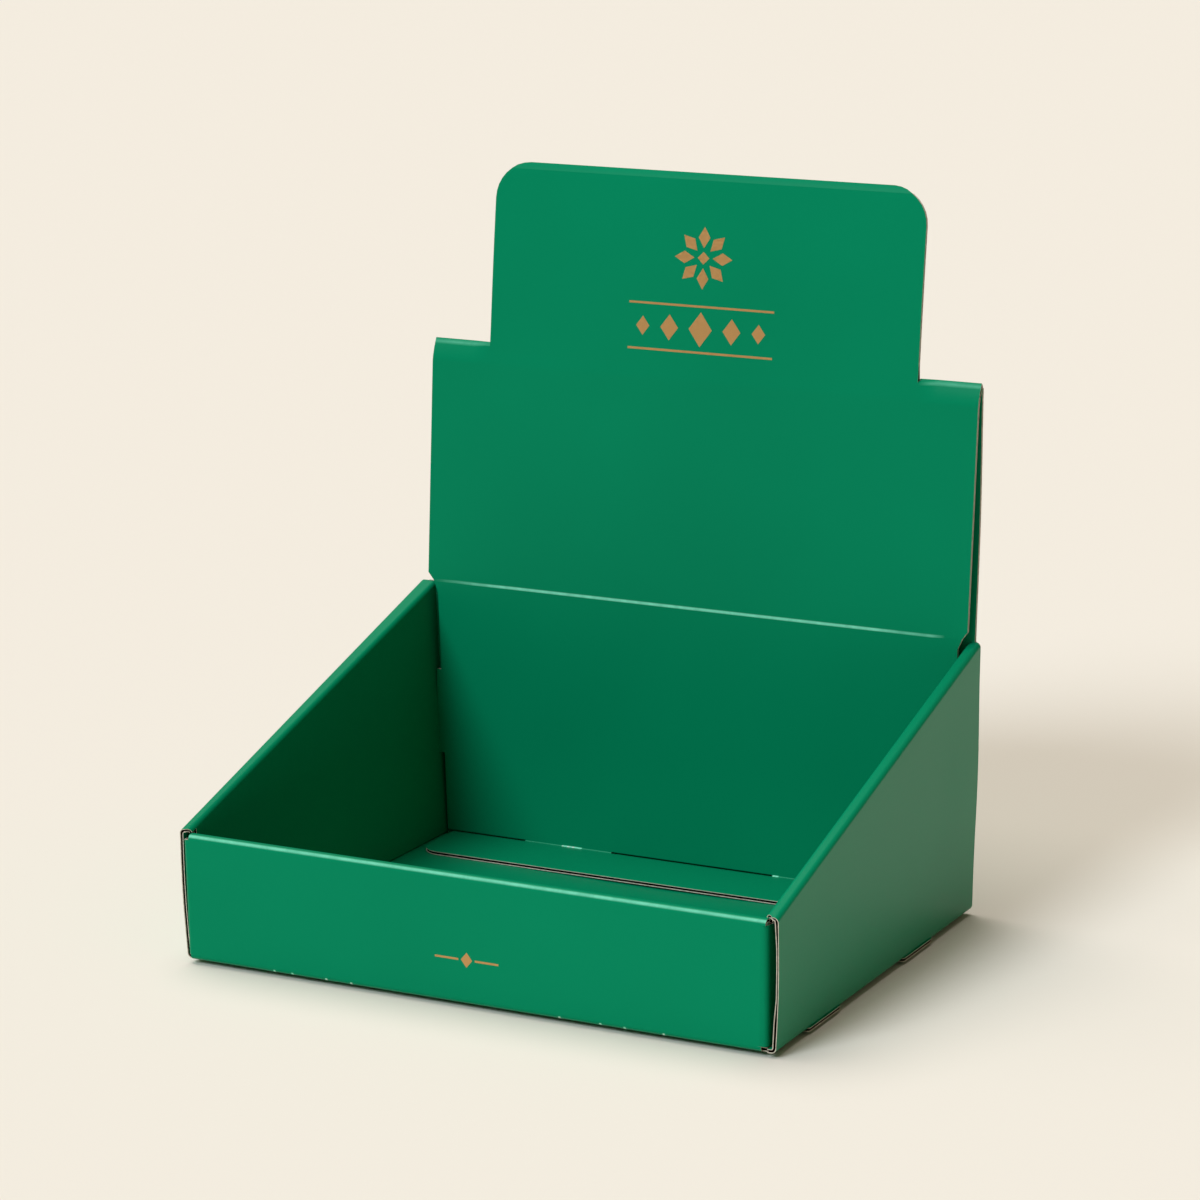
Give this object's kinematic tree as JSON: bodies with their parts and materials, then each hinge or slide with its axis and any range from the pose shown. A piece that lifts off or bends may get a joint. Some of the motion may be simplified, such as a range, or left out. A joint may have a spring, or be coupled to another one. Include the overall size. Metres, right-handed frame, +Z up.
{
  "type": "cardboard display box",
  "caption": "Counter display box folded from corrugated board: open tray with a low front wall, sloping side walls and a tall back with a raised header.",
  "frame": {"origin": "on the table under the middle of the floor, halfway between the front and rear faces", "axes": "+X to the right seen from the front, +Y from the front wall to the back, +Z up"},
  "size_m": [0.2516, 0.2056, 0.2935],
  "materials": {
    "printed_board": "satin"
  },
  "bodies": {
    "root": {"display_box": "printed_board"}
  },
  "joints": []
}
